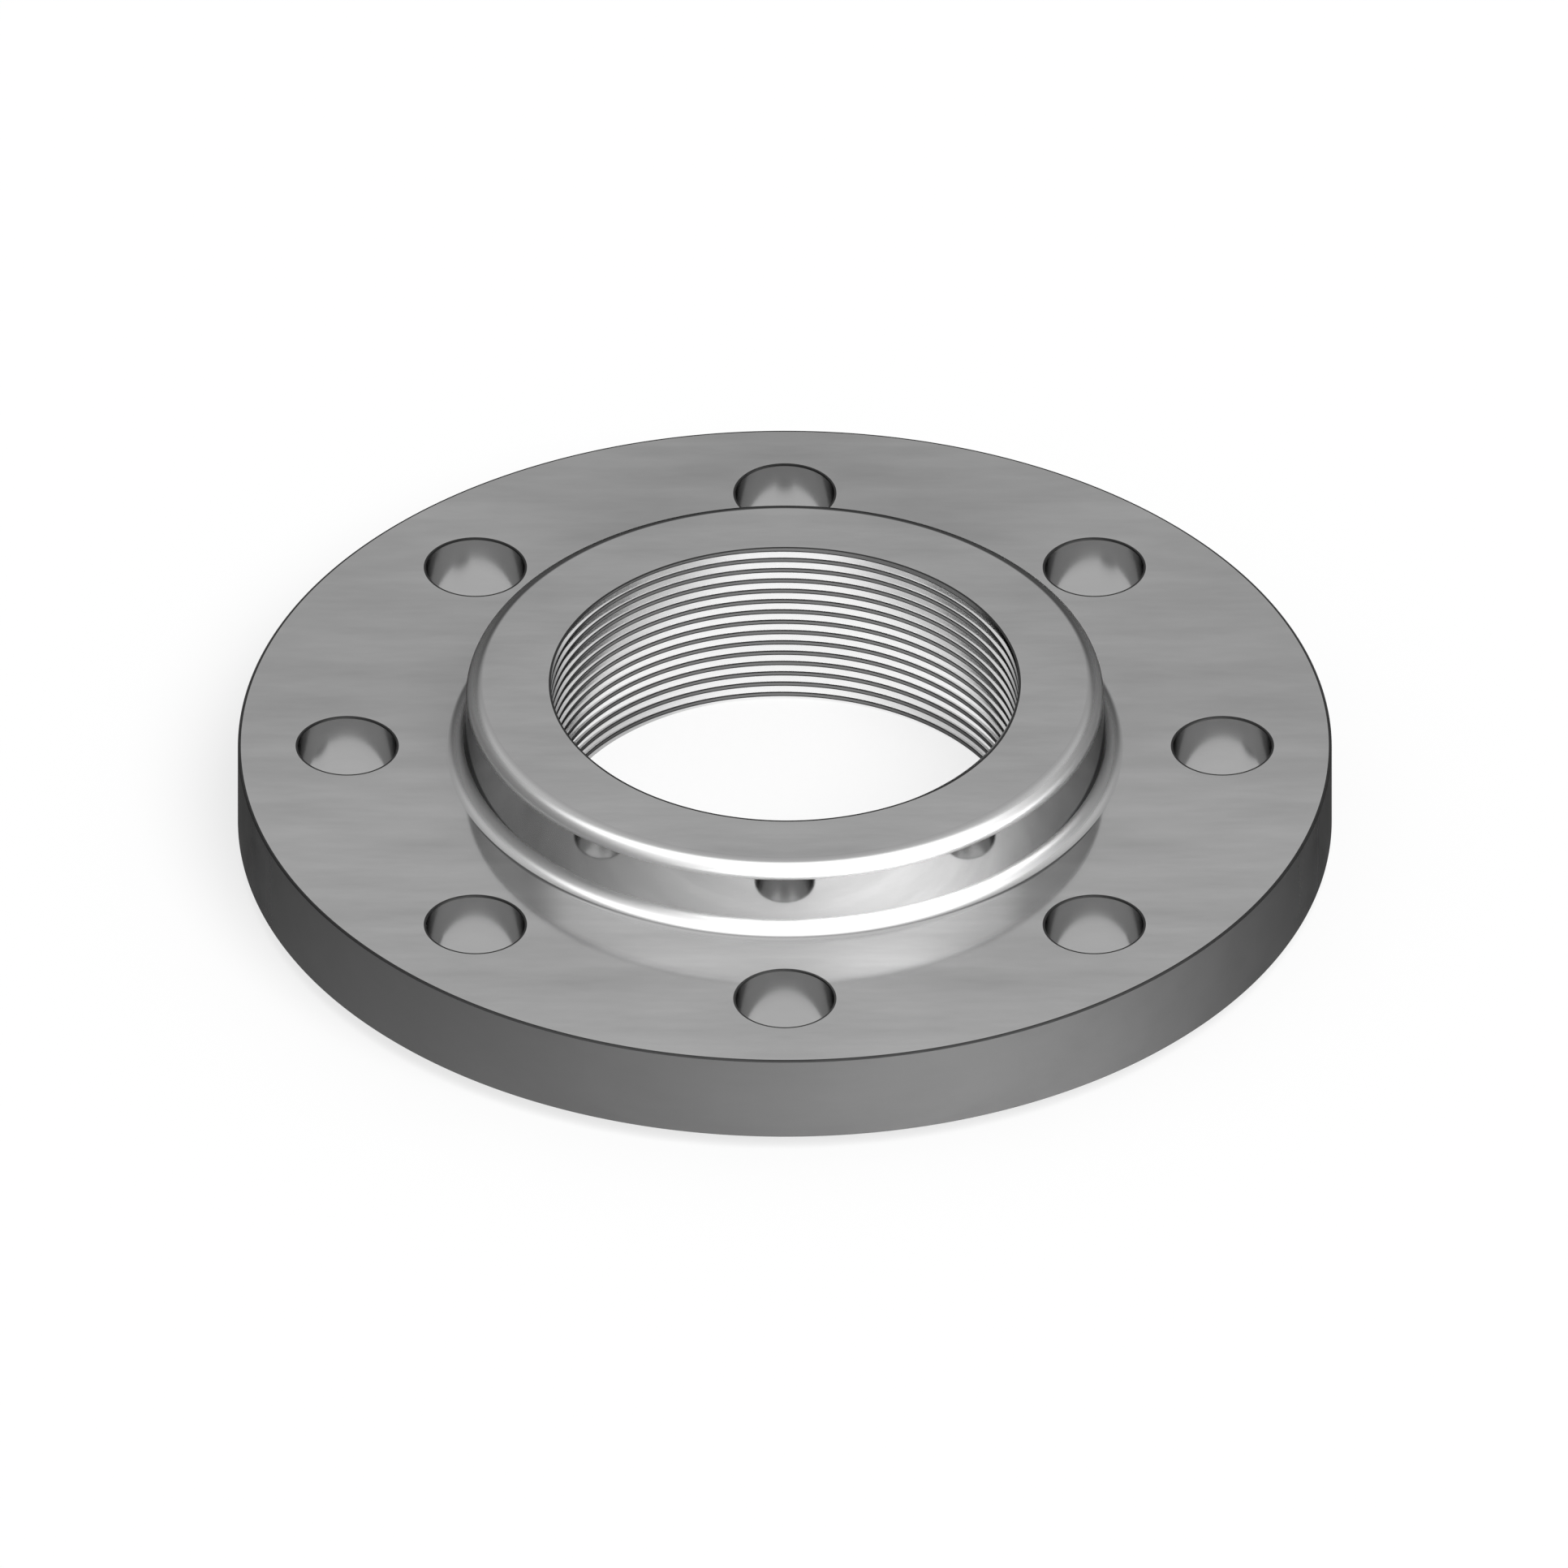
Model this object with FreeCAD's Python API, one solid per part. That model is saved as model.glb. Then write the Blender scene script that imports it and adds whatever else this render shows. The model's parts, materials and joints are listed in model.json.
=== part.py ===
import FreeCAD, Part

import math
import os

# Threaded hub flange for a 3 inch pipe, turned from one forging.
# The raised sealing face lies on Z = 0, the hub points up, and the bore is on the Z axis.
# As drawn it is 200 across and 34 high, with a 118 hub, a 138 face and holes on a 160 circle.

# Bore, at the tapping size of the parallel pipe thread
BORE_DIAMETER = 85.5

# Plate
FLANGE_THICKNESS = 20.0      # from the sealing face to the nut face
FACE_HEIGHT = 3.0            # how far the sealing face stands out of the plate

# Hub
HUB_HEIGHT = 14.0            # above the nut face
HUB_WALL = 16.25             # round the bore, at the foot of the hub
HUB_DRAFT = 3.5              # forging draft of the flank, in degrees
HUB_ROOT_RADIUS = 3.0
HUB_CROWN_RADIUS = 3.0
CROWN_SHARE_OF_WALL = 0.6    # the most of a thin wall that the crown may round away

# Bolt holes
BOLT_HOLE_DIAMETER = 18.0
BOLT_HOLE_COUNT = 8
FIRST_HOLE_ANGLE = 0.0       # from +X, in degrees
HOLE_TO_HUB = 12.0           # land left between a hole and the foot of the hub
HOLE_TO_RIM = 11.0           # land left between a hole and the rim
HOLE_TO_FACE = 2.0           # ring left between a hole and the sealing face

# Turned and drilled edges
EDGE_BREAK = 0.3

# How closely an edge is told by its radius and height
MATCH = 0.001

# Radii and heights that follow from the sizes above
BORE_RADIUS = BORE_DIAMETER / 2
HOLE_RADIUS = BOLT_HOLE_DIAMETER / 2
HUB_FOOT_RADIUS = BORE_RADIUS + HUB_WALL
HUB_TOP_RADIUS = HUB_FOOT_RADIUS - HUB_HEIGHT * math.tan(math.radians(HUB_DRAFT))
BOLT_CIRCLE_RADIUS = HUB_FOOT_RADIUS + HOLE_TO_HUB + HOLE_RADIUS
RIM_RADIUS = BOLT_CIRCLE_RADIUS + HOLE_RADIUS + HOLE_TO_RIM
FACE_RADIUS = BOLT_CIRCLE_RADIUS - HOLE_RADIUS - HOLE_TO_FACE
HUB_TOP = FLANGE_THICKNESS + HUB_HEIGHT


def rings(solid, radius, height):
    """The round edges of the solid that have this radius and lie at this height."""
    found = []
    for edge in solid.Edges:
        curve = edge.Curve
        if not isinstance(curve, Part.Circle):
            continue
        if abs(curve.Radius - radius) < MATCH and abs(curve.Center.z - height) < MATCH:
            found.append(edge)
    return found


def turned_blank():
    """The plate, its raised face and its drafted hub, turned round the bore with sharp edges."""
    outline = [
        (BORE_RADIUS, 0.0),
        (FACE_RADIUS, 0.0),
        (FACE_RADIUS, FACE_HEIGHT),
        (RIM_RADIUS, FACE_HEIGHT),
        (RIM_RADIUS, FLANGE_THICKNESS),
        (HUB_FOOT_RADIUS, FLANGE_THICKNESS),
        (HUB_TOP_RADIUS, HUB_TOP),
        (BORE_RADIUS, HUB_TOP),
    ]
    points = [FreeCAD.Vector(radius, 0.0, height) for radius, height in outline]
    section = Part.Face(Part.makePolygon(points + points[:1]))
    return section.revolve(FreeCAD.Vector(0, 0, 0), FreeCAD.Vector(0, 0, 1), 360)


def round_hub(blank):
    """The blank with the hub's root and crown rounded."""
    top_wall = HUB_TOP_RADIUS - BORE_RADIUS
    crown_radius = min(HUB_CROWN_RADIUS, top_wall * CROWN_SHARE_OF_WALL)
    rooted = blank.makeFillet(HUB_ROOT_RADIUS, rings(blank, HUB_FOOT_RADIUS, FLANGE_THICKNESS))
    return rooted.makeFillet(crown_radius, rings(rooted, HUB_TOP_RADIUS, HUB_TOP))


def drill_bolt_holes(blank):
    """The blank with its bolt holes drilled through the plate, evenly round the bolt circle."""
    drilled = blank
    for number in range(BOLT_HOLE_COUNT):
        angle = math.radians(FIRST_HOLE_ANGLE + number * 360.0 / BOLT_HOLE_COUNT)
        centre = FreeCAD.Vector(
            BOLT_CIRCLE_RADIUS * math.cos(angle),
            BOLT_CIRCLE_RADIUS * math.sin(angle),
            0.0,
        )
        drilled = drilled.cut(Part.makeCylinder(HOLE_RADIUS, HUB_TOP, centre))
    return drilled


def break_edges(body):
    """The body with a small chamfer on its rim, on its sealing face and on each bolt hole."""
    sharp = [
        (RIM_RADIUS, FLANGE_THICKNESS),
        (RIM_RADIUS, FACE_HEIGHT),
        (FACE_RADIUS, 0.0),
        (HOLE_RADIUS, FLANGE_THICKNESS),
        (HOLE_RADIUS, FACE_HEIGHT),
    ]
    edges = []
    for radius, height in sharp:
        edges += rings(body, radius, height)
    return body.makeChamfer(EDGE_BREAK, edges)


def threaded_flange():
    """The finished flange, one solid."""
    return break_edges(drill_bolt_holes(round_hub(turned_blank())))


os.makedirs("parts", exist_ok=True)
flange = threaded_flange()
flange.exportStep("parts/threaded_flange.step")
print("solids", len(flange.Solids), "valid", flange.isValid(), "volume", round(flange.Volume))
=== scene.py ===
import json
import math

import bmesh
import bpy
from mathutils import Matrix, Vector

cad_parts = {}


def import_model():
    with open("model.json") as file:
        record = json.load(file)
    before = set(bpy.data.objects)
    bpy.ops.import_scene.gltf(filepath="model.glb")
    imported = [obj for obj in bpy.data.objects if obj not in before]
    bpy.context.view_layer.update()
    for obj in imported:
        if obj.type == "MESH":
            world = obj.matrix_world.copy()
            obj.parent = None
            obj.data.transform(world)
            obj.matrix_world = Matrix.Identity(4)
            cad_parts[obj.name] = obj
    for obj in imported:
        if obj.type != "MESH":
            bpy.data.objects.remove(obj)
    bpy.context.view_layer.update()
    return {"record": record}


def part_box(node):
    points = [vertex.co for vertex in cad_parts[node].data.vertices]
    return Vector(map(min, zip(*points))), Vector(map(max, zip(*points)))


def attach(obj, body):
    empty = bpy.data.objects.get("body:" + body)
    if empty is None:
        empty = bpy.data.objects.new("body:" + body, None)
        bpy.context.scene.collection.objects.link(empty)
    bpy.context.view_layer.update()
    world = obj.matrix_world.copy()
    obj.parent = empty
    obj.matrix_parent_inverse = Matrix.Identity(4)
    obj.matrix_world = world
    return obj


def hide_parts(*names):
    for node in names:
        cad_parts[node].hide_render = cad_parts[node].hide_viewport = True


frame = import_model()

# The flange lies as packed: its sealing face on Z = 0, its hub up and its bore on the Z axis.
# The camera looks from the -Y side. Lengths are in metres.

MM = 0.001
FLANGE_NODE = "threaded_flange"
UP = Vector((0.0, 0.0, 1.0))
ORIGIN = Vector((0.0, 0.0, 0.0))

# Sizes that the frame gives
mounts = {mount["name"]: mount for mount in frame["record"]["mounts"]}
CREST_RADIUS = mounts["pipe_thread"]["dims"]["r_mm"] * MM
HOLE_COUNT = mounts["bolt_holes"]["dims"]["count"]
HOLE_RADIUS = mounts["bolt_holes"]["dims"]["hole_r_mm"] * MM
BOLT_CIRCLE_RADIUS = mounts["bolt_holes"]["dims"]["pcd_mm"] * MM / 2
NUT_FACE = mounts["nut_face"]["pos_m"][2]
lowest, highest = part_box(FLANGE_NODE)
RIM_RADIUS = highest.x
HUB_TOP = highest.z

# Turned section
PLATE_UNDERSIDE = 3.0 * MM
HOLE_TO_FACE = 2.0 * MM      # ring left between a bolt hole and the sealing face
FACE_RADIUS = BOLT_CIRCLE_RADIUS - HOLE_RADIUS - HOLE_TO_FACE
HUB_FOOT_RADIUS = 59.0 * MM
HUB_DRAFT = math.radians(3.5)
HUB_TOP_RADIUS = HUB_FOOT_RADIUS - (HUB_TOP - NUT_FACE) * math.tan(HUB_DRAFT)
ROOT_RADIUS = 3.0 * MM
CROWN_RADIUS = 3.0 * MM
HALF_CORNER = math.tan((math.pi / 2 - HUB_DRAFT) / 2)
ROOT_REACH = ROOT_RADIUS * HALF_CORNER       # from the sharp corner to where the rounding starts
CROWN_REACH = CROWN_RADIUS * HALF_CORNER
ROOT_OUTER = HUB_FOOT_RADIUS + ROOT_REACH    # where the root's rounding meets the nut face
CROWN_INNER = HUB_TOP_RADIUS - CROWN_REACH   # where the crown's rounding meets the hub's top
BORE_STOCK = 3.0 * MM        # left in the pilot bore for the boring bar
PILOT_RADIUS = CREST_RADIUS - BORE_STOCK

# Broken edges and the fine dark lines beside them, all painted near black as shade
EDGE_BREAK = 0.25 * MM
HOLE_EDGE_BREAK = 0.10 * MM
HOLE_EDGE_BREAK_DEPTH = 0.30 * MM
RIM_LINE = 0.30 * MM         # width of the painted shade line along the rim's upper edge
HOLE_LINE = 0.35 * MM        # width of the painted shade line round a hole's mouth
BORE_LINE = 0.42 * MM        # width of the painted shade line round the bore's mouths
EDGE_LINE_DEPTH = 0.008 * MM

# Pipe thread: 11 turns per inch, 55 degree form, right-hand
PITCH = 25.4 * MM / 11
MAJOR_RADIUS = 87.884 * MM / 2
FLANK_ANGLE = math.radians(27.5)
ROOT_FLAT = 0.12 * MM
CREST_BREAK = 0.26 * MM      # broken corner of a crest, measured along the bore
CREST_BREAK_DEPTH = 0.06 * MM
GROOVE_START = 33.67 * MM    # middle of the groove at its full depth, on the -Y side of the bore
GROOVE_OVERLAP = 0.4 * MM    # how far the groove's solid reaches into the open bore
RUN_OUT = math.radians(110)  # turn over which the tool is drawn out of the groove, going up
TOOL_CLEARANCE = 0.1 * MM    # between the drawn-out tool and the bore
DRAWN_OUT = MAJOR_RADIUS - CREST_RADIUS + TOOL_CLEARANCE

# How far the cutters go past the faces they cut through
CUT_OVERRUN = 2.0 * MM
DRILL_OVERRUN = 1.0 * MM

# How finely the round shapes are divided
RING_STEPS = 360
HOLE_STEPS = 72
THREAD_STEPS = 240
FILLET_STEPS = 12

# How closely vertices are matched to a ring or a radius, and how close they are when merged
RING_MATCH = 0.02 * MM
RADIUS_MATCH = 0.01 * MM
LATHE_MERGE = 1e-7
GROOVE_MERGE = 1e-6

# Corners above this angle are shaded as sharp
SHARP_CORNER = math.radians(14)

# Material slots of the flange mesh
FACED, RIM, DRILLED, THREAD, CREST, EDGE, GASKET, FLANK, ROOT, CROWN = range(10)

# Looks of the steel: tone, roughness, tint at a glancing angle, strength of the clouds
FACE_GREY = 0.32
FACE_ROUGHNESS = 0.10
FACED_LOOK = (FACE_GREY, FACE_ROUGHNESS, 1.0, 0.14)
# the rim: a rougher turned finish, with its tone painted darker than the faces as shade
RIM_LOOK = (0.188, 0.50, 0.1, 0.10)
DRILLED_LOOK = (0.39, 0.16, 0.60, 0.06)
# painted highlight: the cut thread's flanks are painted nearly white
THREAD_LOOK = (0.96, 0.12, 0.5, 0.02)
# painted shade: the crests of the thread, and the flats at its root, are painted darker than the faces
CREST_LOOK = (0.20, 0.20, 0.05, 0.03)
# painted shade: the broken edges and the fine lines beside them are painted near black
EDGE_LOOK = (0.05, 0.5, 1.0, 0.03)
GASKET_LOOK = (0.33, 0.25, 1.0, 0.05)
# painted highlight: the hub's flank and roundings are painted far lighter than the faces
FLANK_LOOK = (0.88, 0.08, 0.22, 0.03)
ROOT_LOOK = (0.84, 0.33, 0.0, 0.03)
CROWN_LOOK = (0.82, 0.33, 0.0, 0.03)
FACED_METALLIC = 0.8
FACED_PAINTED_LIGHT = 0.10            # painted light: how much lighter the faces are in front, and darker at the back
RIM_GROOVES = 0.9            # how strongly the turning grooves spread reflections up and down
RING_PITCH = 0.8 * MM        # of the rings on the sealing face
RING_DEPTH = 0.012 * MM

# The hub's roundings, painted lighter than the faces as highlight, fade from the tone of the flat face
# beside them to their own
FADE_GREY = 0.345            # tone of a rounding at its border with a flat face
FADE_START = 0.25 * MM       # kept up to this far from the border
FADE = 2.0 * MM              # and gone from here on
ROOT_FADE = (ROOT_OUTER - FADE_START, ROOT_OUTER - FADE)
CROWN_FADE = (CROWN_INNER + FADE_START, CROWN_INNER + FADE)

# Clouds in the steel's tone, partly tone that differs at random and partly painted reflection, mirrored
# left to right, with their grain per metre along X, Y and Z
FINE_GRAIN = (30.0, 140.0, 140.0)
BROAD_GRAIN = (12.0, 30.0, 30.0)
FINE_SHARE = 0.55
BROAD_SHARE = 0.45
CLOUD_RANGE = (0.35, 0.65)   # part of the noise that is spread over the whole change of tone
CLOUD_ROUGHNESS = 0.1        # how much the roughness changes with the clouds

# Studio light, as seen in the steel; white is 1
ROOM_LEVEL = 0.20
CEILING_GLOW = 1.50
LOW_WALL_GLOW = 4.0
DIFFUSE_LEVEL = 0.45         # light of the studio on matt surfaces

# Soft boxes: azimuth and elevation in degrees, tightness, strength
KEY_BOX = (49.0, 18.0, 4.3, 1.78)
FILL_BOX = (-4.0, 18.0, 2.2, 1.25)
BACK_BOX = (180.0, 45.0, 3.0, 0.83)
LOW_BOX = (34.0, 0.0, 2.3, 1.5)

# Edges of the studio's parts, as how far up or back a unit vector to them points
CEILING_RISE = (0.59, 0.70)
CEILING_BACK = (-0.05, 0.30)
FRONT_RISE = (0.15, 0.45)
FRONT_LOW_SHARE = 0.35       # what is left of the front boxes below their edge
BACK_RISE = (0.43, 0.62)
LOW_WALL_RISE = (0.12, 0.25)

# Floor: how the camera sees it, and how bright the steel's reflections show it, as a painted pool of light
# round the flange with painted shade beside the bore
FLOOR_SIZE = 3.0
FLOOR_GREY = 0.9
FLOOR_GLOW = 0.72            # share of plain white in what the camera sees; the rest takes the shadow
FLOOR_NEAR = 0.13            # reflections show it white up to this radius
FLOOR_FAR = 0.30             # and at its dimmest from this radius on
FLOOR_FAR_GLOW = 0.14
BORE_SIDE = (0.006, 0.028)   # distance to either side of the bore's middle where a painted shade starts and is full
BORE_SIDE_SHADE = 0.50       # how much dimmer reflections show the floor there, below the bore, as painted shade

# Soft sun, with its azimuth and elevation in degrees
SUN_PLACE = (30.0, 52.0)
SUN_ENERGY = 2.7
SUN_SPREAD = math.radians(45)

# The photo's camera, with no perspective
PHOTO_WIDTH = 1932           # pixels
PHOTO_SCALE = 6.74           # pixels per millimetre
VIEW_ELEVATION = math.atan(1 / math.sqrt(2))
VIEW_CENTRE = Vector((-0.148 * MM, 0.0, 11.44 * MM))
VIEW_DISTANCE = 1.0
VIEW_LIMIT = 10.0


def new_object(name, bm):
    """A mesh object made from the bmesh, which it frees."""
    mesh = bpy.data.meshes.new(name)
    bm.to_mesh(mesh)
    bm.free()
    made = bpy.data.objects.new(name, mesh)
    bpy.context.scene.collection.objects.link(made)
    return made


def outline(bm, points):
    """A chain of vertices and edges through points given as (radius, height)."""
    verts = [bm.verts.new((radius, 0.0, height)) for radius, height in points]
    edges = [bm.edges.new(pair) for pair in zip(verts, verts[1:])]
    return verts, edges


def lathe(bm, points, steps, closed=False):
    """Spins an outline once round the Z axis and turns its faces outwards."""
    verts, edges = outline(bm, points)
    if closed:
        edges.append(bm.edges.new((verts[-1], verts[0])))
    bmesh.ops.spin(
        bm, geom=verts + edges, cent=ORIGIN, axis=UP, dvec=ORIGIN,
        angle=math.tau, steps=steps, use_merge=True, use_duplicate=False,
    )
    bmesh.ops.remove_doubles(bm, verts=bm.verts, dist=LATHE_MERGE)
    bmesh.ops.recalc_face_normals(bm, faces=bm.faces)


def ring_edges(bm, radius, height):
    """The edges of the ring at this radius and height."""
    def on_ring(vert):
        near = abs(math.hypot(vert.co.x, vert.co.y) - radius) < RING_MATCH
        return near and abs(vert.co.z - height) < RING_MATCH
    return [edge for edge in bm.edges if on_ring(edge.verts[0]) and on_ring(edge.verts[1])]


def bevel_ring(bm, radius, height, offset, segments, slot):
    """Rounds or breaks one ring edge, and gives the new faces a material slot."""
    bmesh.ops.bevel(
        bm, geom=ring_edges(bm, radius, height), offset=offset, offset_type="OFFSET",
        segments=segments, profile=0.5, affect="EDGES", material=slot,
    )


def turned_body():
    """The flange as turned, with a pilot bore and no bolt holes."""
    bm = bmesh.new()
    lathe(bm, [
        (PILOT_RADIUS, 0.0),
        (FACE_RADIUS, 0.0),
        (FACE_RADIUS, PLATE_UNDERSIDE),
        (RIM_RADIUS, PLATE_UNDERSIDE),
        (RIM_RADIUS, NUT_FACE),
        (RIM_RADIUS - EDGE_BREAK - RIM_LINE, NUT_FACE),
        (HUB_FOOT_RADIUS, NUT_FACE),
        (HUB_TOP_RADIUS, HUB_TOP),
        (PILOT_RADIUS, HUB_TOP),
    ], RING_STEPS, closed=True)
    for face in bm.faces:
        face.smooth = True
        middle = face.calc_center_median()
        radius = math.hypot(middle.x, middle.y)
        if radius > RIM_RADIUS - EDGE_BREAK / 2:
            face.material_index = RIM
        elif radius > RIM_RADIUS - EDGE_BREAK - RIM_LINE and middle.z > NUT_FACE - EDGE_BREAK:
            face.material_index = EDGE
        elif middle.z < EDGE_BREAK:
            face.material_index = GASKET
        elif HUB_TOP > middle.z > NUT_FACE + EDGE_BREAK and radius > HUB_TOP_RADIUS - EDGE_BREAK:
            face.material_index = FLANK
        else:
            face.material_index = FACED
    bevel_ring(bm, HUB_FOOT_RADIUS, NUT_FACE, ROOT_REACH, FILLET_STEPS, ROOT)
    bevel_ring(bm, HUB_TOP_RADIUS, HUB_TOP, CROWN_REACH, FILLET_STEPS, CROWN)
    bevel_ring(bm, RIM_RADIUS, NUT_FACE, EDGE_BREAK, 1, EDGE)
    bevel_ring(bm, RIM_RADIUS, PLATE_UNDERSIDE, EDGE_BREAK, 1, EDGE)
    bevel_ring(bm, FACE_RADIUS, 0.0, EDGE_BREAK, 1, EDGE)
    return new_object("flange_body", bm)


def bolt_hole_cutter():
    """A drill for all the bolt holes, with a broken edge and a fine dark line of painted shade at both
    mouths.
    """
    mouth_radius = HOLE_RADIUS + HOLE_EDGE_BREAK
    line_radius = mouth_radius + HOLE_LINE
    bottom = PLATE_UNDERSIDE + EDGE_LINE_DEPTH
    top = NUT_FACE - EDGE_LINE_DEPTH
    bm = bmesh.new()
    lathe(bm, [
        (0.0, -DRILL_OVERRUN),
        (line_radius, -DRILL_OVERRUN),
        (line_radius, bottom),
        (mouth_radius, bottom),
        (HOLE_RADIUS, bottom + HOLE_EDGE_BREAK_DEPTH),
        (HOLE_RADIUS, top - HOLE_EDGE_BREAK_DEPTH),
        (mouth_radius, top),
        (line_radius, top),
        (line_radius, NUT_FACE + DRILL_OVERRUN),
        (0.0, NUT_FACE + DRILL_OVERRUN),
    ], HOLE_STEPS)
    for face in bm.faces:
        face.smooth = True
        middle = face.calc_center_median()
        on_wall = bottom + HOLE_EDGE_BREAK_DEPTH < middle.z < top - HOLE_EDGE_BREAK_DEPTH
        face.material_index = DRILLED if on_wall else EDGE
    bmesh.ops.translate(bm, verts=bm.verts, vec=(BOLT_CIRCLE_RADIUS, 0.0, 0.0))
    one = bm.verts[:] + bm.edges[:] + bm.faces[:]
    bmesh.ops.spin(
        bm, geom=one, cent=ORIGIN, axis=UP, dvec=ORIGIN,
        angle=math.tau * (HOLE_COUNT - 1) / HOLE_COUNT, steps=HOLE_COUNT - 1, use_duplicate=True,
    )
    return new_object("bolt_hole_cutter", bm)


def turn_of(point):
    """The point's azimuth from the camera's side of the flange towards +X."""
    return math.atan2(point.x, -point.y)


def groove_mouth(turn):
    """The bore's radius in the plane of the hub's top, where the last turn of the groove breaks out."""
    middle = GROOVE_START + PITCH * turn / math.tau
    root = MAJOR_RADIUS - DRAWN_OUT * max(turn, 0.0) / RUN_OUT
    beside_root = max(abs(HUB_TOP - middle) - ROOT_FLAT / 2, 0.0)
    return max(root - beside_root / math.tan(FLANK_ANGLE), CREST_RADIUS)


def borer():
    """A boring bar for the crests of the thread, with a fine dark line of painted shade round both mouths.
    """
    mouth_radius = CREST_RADIUS + BORE_LINE
    bm = bmesh.new()
    lathe(bm, [
        (0.0, -CUT_OVERRUN),
        (mouth_radius, -CUT_OVERRUN),
        (mouth_radius, EDGE_LINE_DEPTH),
        (CREST_RADIUS, EDGE_LINE_DEPTH),
        (CREST_RADIUS, HUB_TOP - EDGE_LINE_DEPTH),
        (mouth_radius, HUB_TOP - EDGE_LINE_DEPTH),
        (mouth_radius, HUB_TOP + CUT_OVERRUN),
        (0.0, HUB_TOP + CUT_OVERRUN),
    ], THREAD_STEPS)
    for vert in bm.verts:
        radius = math.hypot(vert.co.x, vert.co.y)
        if vert.co.z > HUB_TOP - 2 * EDGE_LINE_DEPTH and radius > CREST_RADIUS + BORE_LINE / 2:
            wider = (groove_mouth(turn_of(vert.co)) + BORE_LINE) / radius
            vert.co.x *= wider
            vert.co.y *= wider
    for face in bm.faces:
        face.smooth = True
        middle = face.calc_center_median()
        on_wall = EDGE_LINE_DEPTH < middle.z < HUB_TOP - EDGE_LINE_DEPTH
        face.material_index = CREST if on_wall else EDGE
    return new_object("borer", bm)


def run_out(bm, section):
    """Winds the groove on upwards from its first section, while the tool is drawn out of it."""
    first = bmesh.ops.duplicate(bm, geom=section)["geom"]
    before = set(bm.verts) - set(first)
    steps = round(THREAD_STEPS * RUN_OUT / math.tau)
    bmesh.ops.spin(
        bm, geom=first, cent=ORIGIN, axis=UP, dvec=UP * PITCH / THREAD_STEPS,
        angle=RUN_OUT, steps=steps, use_duplicate=False,
    )
    for vert in set(bm.verts) - before:
        radius = math.hypot(vert.co.x, vert.co.y)
        share = (radius - DRAWN_OUT * max(turn_of(vert.co), 0.0) / RUN_OUT) / radius
        vert.co.x *= share
        vert.co.y *= share


def groove_look(face):
    """The material slot of one face of the groove.

    A crest's broken corners are dark lines of painted shade, and the flat at the root is painted as dark as
    the crests, as shade; the flanks take the thread's tone, painted nearly white as highlight.
    """
    radii = [math.hypot(vert.co.x, vert.co.y) for vert in face.verts]
    if min(radii) > MAJOR_RADIUS - RADIUS_MATCH:
        return CREST
    outside_bore = min(radii) > CREST_RADIUS - RADIUS_MATCH
    if outside_bore and max(radii) < CREST_RADIUS + CREST_BREAK_DEPTH + RADIUS_MATCH:
        return EDGE
    return THREAD


def thread_groove():
    """The groove of the pipe thread as one solid, from its run-out down through the sealing face."""
    turns = math.ceil((GROOVE_START + CUT_OVERRUN) / PITCH)
    inside = CREST_RADIUS - GROOVE_OVERLAP
    shoulder = ROOT_FLAT / 2 + (MAJOR_RADIUS - CREST_RADIUS - CREST_BREAK_DEPTH) * math.tan(FLANK_ANGLE)
    mouth = shoulder + CREST_BREAK
    section = [
        (inside, -mouth),
        (CREST_RADIUS, -mouth),
        (CREST_RADIUS + CREST_BREAK_DEPTH, -shoulder),
        (MAJOR_RADIUS, -ROOT_FLAT / 2),
        (MAJOR_RADIUS, ROOT_FLAT / 2),
        (CREST_RADIUS + CREST_BREAK_DEPTH, shoulder),
        (CREST_RADIUS, mouth),
        (inside, mouth),
    ]
    bm = bmesh.new()
    start = [bm.verts.new((0.0, -radius, GROOVE_START + height)) for radius, height in section]
    edges = [bm.edges.new(pair) for pair in zip(start, start[1:] + start[:1])]
    bmesh.ops.spin(
        bm, geom=start + edges, cent=ORIGIN, axis=UP, dvec=-UP * PITCH / THREAD_STEPS,
        angle=-math.tau, steps=THREAD_STEPS, use_duplicate=False,
    )
    one_turn = bm.verts[:] + bm.edges[:] + bm.faces[:]
    for turn in range(1, turns):
        copied = bmesh.ops.duplicate(bm, geom=one_turn)["geom"]
        bmesh.ops.translate(
            bm, verts=[item for item in copied if isinstance(item, bmesh.types.BMVert)],
            vec=-UP * PITCH * turn,
        )
    run_out(bm, start + edges)
    bmesh.ops.remove_doubles(bm, verts=bm.verts, dist=GROOVE_MERGE)
    bmesh.ops.holes_fill(bm, edges=[edge for edge in bm.edges if edge.is_boundary], sides=0)
    bmesh.ops.recalc_face_normals(bm, faces=bm.faces)
    for face in bm.faces:
        face.smooth = True
        face.material_index = groove_look(face)
    return new_object("thread_groove", bm)


def subtract(body, cutter):
    """Cuts the cutter out of the body and deletes it."""
    modifier = body.modifiers.new(cutter.name, "BOOLEAN")
    modifier.operation = "DIFFERENCE"
    modifier.solver = "MANIFOLD"
    modifier.object = cutter
    depsgraph = bpy.context.evaluated_depsgraph_get()
    cut = bpy.data.meshes.new_from_object(body.evaluated_get(depsgraph))
    body.modifiers.clear()
    body.data = cut
    bpy.data.objects.remove(cutter)


def nodes_of(material):
    """The material's node tree and its Principled shader."""
    material.use_nodes = True
    tree = material.node_tree
    return tree, tree.nodes["Principled BSDF"]


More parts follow.
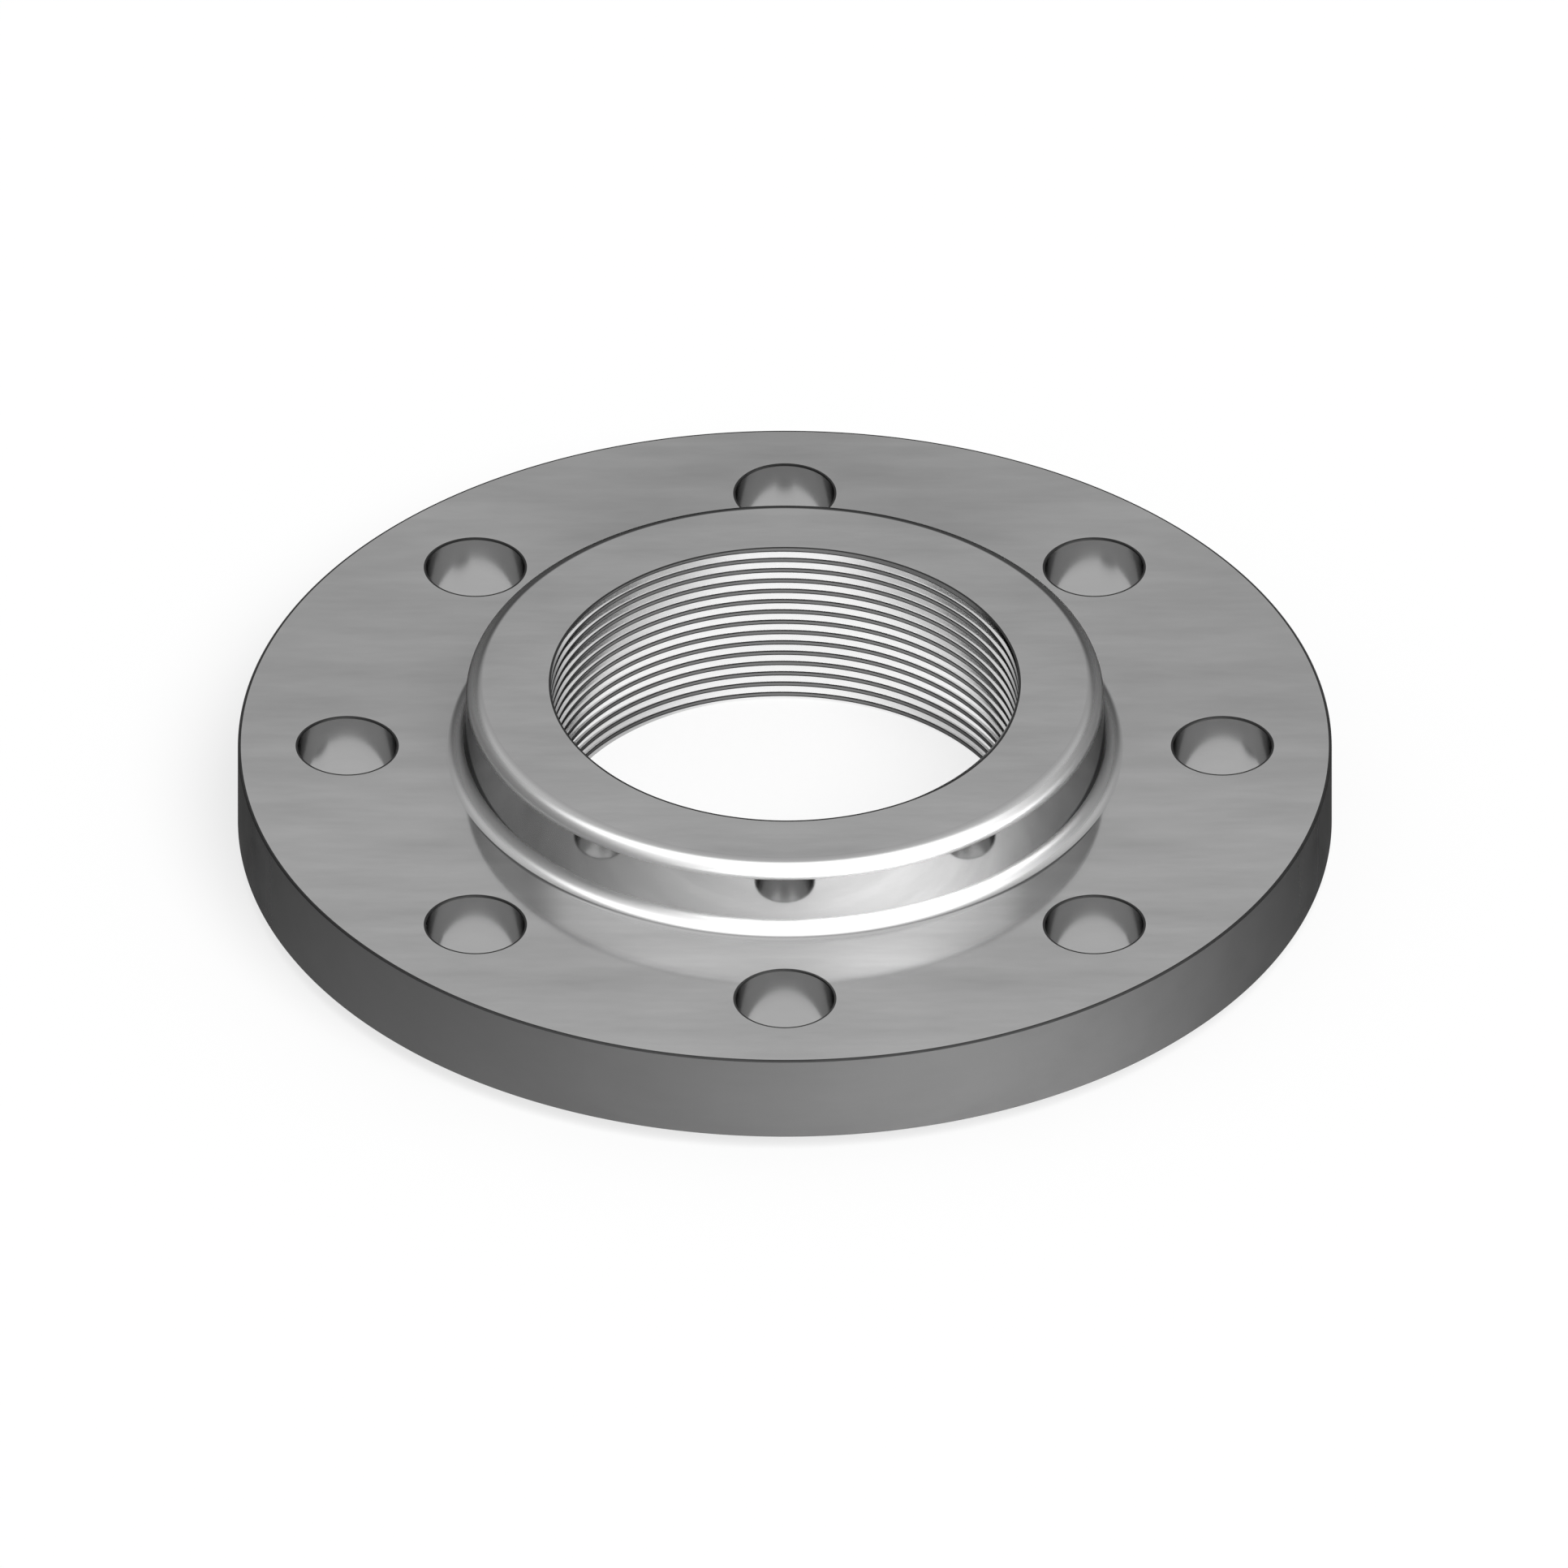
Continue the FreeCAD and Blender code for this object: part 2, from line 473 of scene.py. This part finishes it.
class Wiring:
    """Shorthands for adding nodes to one tree."""

    def __init__(self, tree):
        self.nodes = tree.nodes
        self.links = tree.links

    def put(self, socket, value):
        """Links the socket to another one, or gives it a fixed value."""
        if isinstance(value, bpy.types.NodeSocket):
            self.links.new(value, socket)
        else:
            socket.default_value = value

    def math(self, operation, *values):
        """The result of one sum on sockets or numbers."""
        node = self.nodes.new("ShaderNodeMath")
        node.operation = operation
        for socket, value in zip(node.inputs, values):
            self.put(socket, value)
        return node.outputs[0]

    def spread(self, value, low, high, new_low=0.0, new_high=1.0, smooth=False):
        """A value taken from one range to another, and held at its ends."""
        node = self.nodes.new("ShaderNodeMapRange")
        if smooth:
            node.interpolation_type = "SMOOTHSTEP"
        self.put(node.inputs["Value"], value)
        node.inputs["From Min"].default_value = low
        node.inputs["From Max"].default_value = high
        node.inputs["To Min"].default_value = new_low
        node.inputs["To Max"].default_value = new_high
        return node.outputs["Result"]

    def axis(self, place, name):
        """One coordinate of a place."""
        split = self.nodes.new("ShaderNodeSeparateXYZ")
        self.put(split.inputs[0], place)
        return split.outputs[name]

    def place(self, mirrored=False):
        """The place on the object, with its left half mirrored onto its right half if asked."""
        whole = self.nodes.new("ShaderNodeTexCoord").outputs["Object"]
        if not mirrored:
            return whole
        joined = self.nodes.new("ShaderNodeCombineXYZ")
        self.put(joined.inputs["X"], self.math("ABSOLUTE", self.axis(whole, "X")))
        self.put(joined.inputs["Y"], self.axis(whole, "Y"))
        self.put(joined.inputs["Z"], self.axis(whole, "Z"))
        return joined.outputs[0]

    def radius(self):
        """The distance from the bore's axis."""
        flat = self.nodes.new("ShaderNodeVectorMath")
        flat.operation = "MULTIPLY"
        self.put(flat.inputs[0], self.place())
        flat.inputs[1].default_value = (1.0, 1.0, 0.0)
        length = self.nodes.new("ShaderNodeVectorMath")
        length.operation = "LENGTH"
        self.put(length.inputs[0], flat.outputs[0])
        return length.outputs["Value"]

    def noise(self, place, grain, detail, roughness):
        """Noise whose grain per metre is given for each axis."""
        mapping = self.nodes.new("ShaderNodeMapping")
        mapping.inputs["Scale"].default_value = grain
        self.put(mapping.inputs["Vector"], place)
        node = self.nodes.new("ShaderNodeTexNoise")
        node.inputs["Scale"].default_value = 1.0
        node.inputs["Detail"].default_value = detail
        node.inputs["Roughness"].default_value = roughness
        self.put(node.inputs["Vector"], mapping.outputs[0])
        return node.outputs["Fac"]

    def grey(self, value):
        """A colour with the same value in all its channels."""
        joined = self.nodes.new("ShaderNodeCombineColor")
        for socket in joined.inputs:
            self.put(socket, value)
        return joined.outputs[0]

    def bump(self, height, distance):
        """The surface's direction with a relief of this depth."""
        node = self.nodes.new("ShaderNodeBump")
        node.inputs["Strength"].default_value = 1.0
        node.inputs["Distance"].default_value = distance
        self.put(node.inputs["Height"], height)
        return node.outputs["Normal"]


def steel(name, grey, roughness, edge_tint, cloud, metallic=1.0, painted_lean=0.0, fade=None):
    """Bare steel with faint long clouds in its tone, partly at random and partly painted reflection.

    It may be painted lighter in front and darker at the back, as painted light, or fade from the flat
    face's tone to its own between two radii, as the painted highlight of a rounding does.
    """
    material = bpy.data.materials.new(name)
    tree, shader = nodes_of(material)
    wiring = Wiring(tree)
    shader.inputs["Metallic"].default_value = metallic
    shader.inputs["Specular Tint"].default_value = (edge_tint, edge_tint, edge_tint, 1.0)
    # mirrored left to right, so the clouds, partly painted reflection, are alike on both sides
    place = wiring.place(mirrored=True)
    fine = wiring.noise(place, FINE_GRAIN, detail=5.0, roughness=0.6)
    broad = wiring.noise(place, BROAD_GRAIN, detail=2.0, roughness=0.5)
    clouds = wiring.math("MULTIPLY_ADD", fine, FINE_SHARE, wiring.math("MULTIPLY", broad, BROAD_SHARE))
    tone = wiring.spread(clouds, *CLOUD_RANGE, grey * (1 - cloud), grey * (1 + cloud))
    smoother = roughness * (1 - CLOUD_ROUGHNESS)
    rougher = roughness * (1 + CLOUD_ROUGHNESS)
    rough = wiring.spread(clouds, *CLOUD_RANGE, smoother, rougher)
    # painted light: the tone is lighter in front and darker at the back
    if painted_lean:
        painted_leaning = wiring.spread(wiring.axis(place, "Y"), -RIM_RADIUS, RIM_RADIUS, 1 + painted_lean, 1 - painted_lean)
        tone = wiring.math("MULTIPLY", tone, painted_leaning)
    # painted highlight of a rounding, faded in from the flat face's tone
    if fade:
        radius = wiring.radius()
        share = wiring.spread(radius, *fade, FADE_GREY / grey, 1.0, smooth=True)
        tone = wiring.math("MULTIPLY", tone, share)
        rough = wiring.spread(radius, *fade, FACE_ROUGHNESS, roughness)
    wiring.put(shader.inputs["Base Color"], wiring.grey(tone))
    wiring.put(shader.inputs["Roughness"], rough)
    return material


def serrated(name, grey, roughness, edge_tint, cloud):
    """Steel with the fine rings that the lathe leaves on a sealing face."""
    material = steel(name, grey, roughness, edge_tint, cloud)
    tree, shader = nodes_of(material)
    wiring = Wiring(tree)
    rings = wiring.math("SINE", wiring.math("MULTIPLY", wiring.radius(), math.tau / RING_PITCH))
    wiring.put(shader.inputs["Normal"], wiring.bump(rings, RING_DEPTH))
    return material


def turned_rim(name, grey, roughness, edge_tint, cloud):
    """Steel with fine turning grooves round the rim, which spread its reflections up and down."""
    material = steel(name, grey, roughness, edge_tint, cloud)
    tree, shader = nodes_of(material)
    upright = tree.nodes.new("ShaderNodeCombineXYZ")
    upright.inputs["Z"].default_value = 1.0
    tree.links.new(upright.outputs[0], shader.inputs["Tangent"])
    shader.inputs["Anisotropic"].default_value = RIM_GROOVES
    return material


# The flange, with its materials in the order of the slots
flange = turned_body()
flange.name = "flange"
for material in (
    steel("faced_steel", *FACED_LOOK, metallic=FACED_METALLIC, painted_lean=FACED_PAINTED_LIGHT),
    turned_rim("rim_steel", *RIM_LOOK),
    steel("drilled_steel", *DRILLED_LOOK),
    steel("cut_thread", *THREAD_LOOK),
    steel("thread_crest", *CREST_LOOK),
    steel("painted_shade_line", *EDGE_LOOK),
    serrated("gasket_face", *GASKET_LOOK),
    steel("hub_flank", *FLANK_LOOK),
    steel("hub_root", *ROOT_LOOK, fade=ROOT_FADE),
    steel("hub_crown", *CROWN_LOOK, fade=CROWN_FADE),
):
    flange.data.materials.append(material)
subtract(flange, bolt_hole_cutter())
subtract(flange, borer())
subtract(flange, thread_groove())
flange.data.set_sharp_from_angle(angle=SHARP_CORNER)
weights = flange.modifiers.new("normals", "WEIGHTED_NORMAL")
weights.mode = "FACE_AREA"
weights.keep_sharp = True
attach(flange, "root")
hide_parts(FLANGE_NODE)


def ray_kinds(wiring):
    """1 for a ray from the camera, and 1 for a reflection or a ray through glass."""
    path = wiring.nodes.new("ShaderNodeLightPath")
    shiny = wiring.math("MAXIMUM", path.outputs["Is Glossy Ray"], path.outputs["Is Transmission Ray"])
    return path.outputs["Is Camera Ray"], shiny


def floor():
    """White paper with a soft shadow; reflections show it as a painted pool of light, white near the flange
    and dimmer far away, with painted shade beside the bore.
    """
    bm = bmesh.new()
    bmesh.ops.create_grid(bm, x_segments=1, y_segments=1, size=FLOOR_SIZE)
    made = new_object("floor", bm)
    material = bpy.data.materials.new("floor_paper")
    material.use_nodes = True
    wiring = Wiring(material.node_tree)
    wiring.nodes.clear()
    output = wiring.nodes.new("ShaderNodeOutputMaterial")
    mix = wiring.nodes.new("ShaderNodeMixShader")
    diffuse = wiring.nodes.new("ShaderNodeBsdfDiffuse")
    diffuse.inputs["Color"].default_value = (FLOOR_GREY, FLOOR_GREY, FLOOR_GREY, 1.0)
    emission = wiring.nodes.new("ShaderNodeEmission")
    emission.inputs["Color"].default_value = (1.0, 1.0, 1.0, 1.0)
    camera_ray, shiny = ray_kinds(wiring)
    share = wiring.math("MAXIMUM", wiring.math("MULTIPLY", camera_ray, FLOOR_GLOW), shiny)
    radius = wiring.radius()
    # painted pool of light in reflections: the floor glows white near the flange and dims far away, with
    # painted shade beside the bore
    painted_reflected_glow = wiring.spread(radius, FLOOR_NEAR, FLOOR_FAR, 1.0, FLOOR_FAR_GLOW, smooth=True)
    from_middle = wiring.axis(wiring.place(mirrored=True), "X")
    beside = wiring.spread(from_middle, *BORE_SIDE, 0.0, BORE_SIDE_SHADE, smooth=True)
    below_bore = wiring.spread(radius, MAJOR_RADIUS, FACE_RADIUS, 1.0, 0.0)
    painted_reflected_glow = wiring.math("SUBTRACT", painted_reflected_glow, wiring.math("MULTIPLY", beside, below_bore))
    wiring.put(emission.inputs["Strength"], wiring.math("MAXIMUM", camera_ray, painted_reflected_glow))
    wiring.put(mix.inputs[0], share)
    wiring.put(mix.inputs[1], diffuse.outputs[0])
    wiring.put(mix.inputs[2], emission.outputs[0])
    wiring.put(output.inputs["Surface"], mix.outputs[0])
    made.data.materials.append(material)


def direction(azimuth, elevation):
    """A unit vector, with its azimuth from the camera's side of the flange towards +X."""
    turn = math.radians(azimuth)
    rise = math.radians(elevation)
    return Vector((math.sin(turn) * math.cos(rise), -math.cos(turn) * math.cos(rise), math.sin(rise)))


def world():
    """The studio: white to the camera, even light on matt surfaces, and soft boxes in reflections."""
    made = bpy.data.worlds.new("studio")
    bpy.context.scene.world = made
    made.use_nodes = True
    made.cycles.sampling_method = "NONE"
    wiring = Wiring(made.node_tree)
    wiring.nodes.clear()
    coords = wiring.nodes.new("ShaderNodeTexCoord").outputs["Generated"]

    def glow(azimuth, elevation, tightness, strength):
        """A soft box, brightest in its own direction and dark on the other side."""
        dot = wiring.nodes.new("ShaderNodeVectorMath")
        dot.operation = "DOT_PRODUCT"
        wiring.put(dot.inputs[0], coords)
        dot.inputs[1].default_value = direction(azimuth, elevation)
        held = wiring.math("MAXIMUM", dot.outputs["Value"], 0.0)
        return wiring.math("MULTIPLY", wiring.math("POWER", held, tightness), strength)

    def limited(light, along, edge, before, after):
        """A light times one level before an edge and another after it."""
        return wiring.math("MULTIPLY", light, wiring.spread(along, *edge, before, after, smooth=True))

    height = wiring.axis(coords, "Z")
    depth = wiring.axis(coords, "Y")
    ceiling = wiring.spread(height, *CEILING_RISE, 0.0, CEILING_GLOW, smooth=True)
    ceiling = limited(ceiling, depth, CEILING_BACK, 1.0, 0.0)
    front = wiring.math("ADD", glow(*KEY_BOX), glow(*FILL_BOX))
    front = limited(front, height, FRONT_RISE, FRONT_LOW_SHARE, 1.0)
    back = limited(glow(*BACK_BOX), height, BACK_RISE, 0.0, 1.0)
    low_wall = limited(glow(*LOW_BOX), height, LOW_WALL_RISE, LOW_WALL_GLOW, 0.0)
    level = wiring.math("ADD", wiring.math("MAXIMUM", ceiling, front), back)
    level = wiring.math("ADD", level, ROOM_LEVEL)
    level = wiring.math("ADD", level, low_wall)

    camera_ray, shiny = ray_kinds(wiring)
    seen = wiring.nodes.new("ShaderNodeMix")
    wiring.put(seen.inputs["Factor"], shiny)
    seen.inputs["A"].default_value = DIFFUSE_LEVEL
    wiring.put(seen.inputs["B"], level)
    white = wiring.nodes.new("ShaderNodeMix")
    wiring.put(white.inputs["Factor"], camera_ray)
    wiring.put(white.inputs["A"], seen.outputs["Result"])
    white.inputs["B"].default_value = 1.0
    background = wiring.nodes.new("ShaderNodeBackground")
    background.inputs["Color"].default_value = (1.0, 1.0, 1.0, 1.0)
    wiring.put(background.inputs["Strength"], white.outputs["Result"])
    output = wiring.nodes.new("ShaderNodeOutputWorld")
    wiring.put(output.inputs["Surface"], background.outputs[0])


def sun():
    """A soft sun that reflections don't show."""
    light = bpy.data.lights.new("key", "SUN")
    light.energy = SUN_ENERGY
    light.angle = SUN_SPREAD
    made = bpy.data.objects.new("key", light)
    bpy.context.scene.collection.objects.link(made)
    made.rotation_euler = direction(*SUN_PLACE).to_track_quat("Z", "Y").to_euler()
    made.visible_glossy = False


def camera():
    """The photo's camera."""
    data = bpy.data.cameras.new("camera")
    data.type = "ORTHO"
    data.ortho_scale = PHOTO_WIDTH / PHOTO_SCALE * MM
    data.clip_end = VIEW_LIMIT
    made = bpy.data.objects.new("camera", data)
    bpy.context.scene.collection.objects.link(made)
    back = Vector((0.0, -math.cos(VIEW_ELEVATION), math.sin(VIEW_ELEVATION)))
    made.location = VIEW_CENTRE + back * VIEW_DISTANCE
    made.rotation_euler = (math.pi / 2 - VIEW_ELEVATION, 0.0, 0.0)
    bpy.context.scene.camera = made


floor()
world()
sun()
camera()
bpy.context.scene.view_settings.view_transform = "Standard"
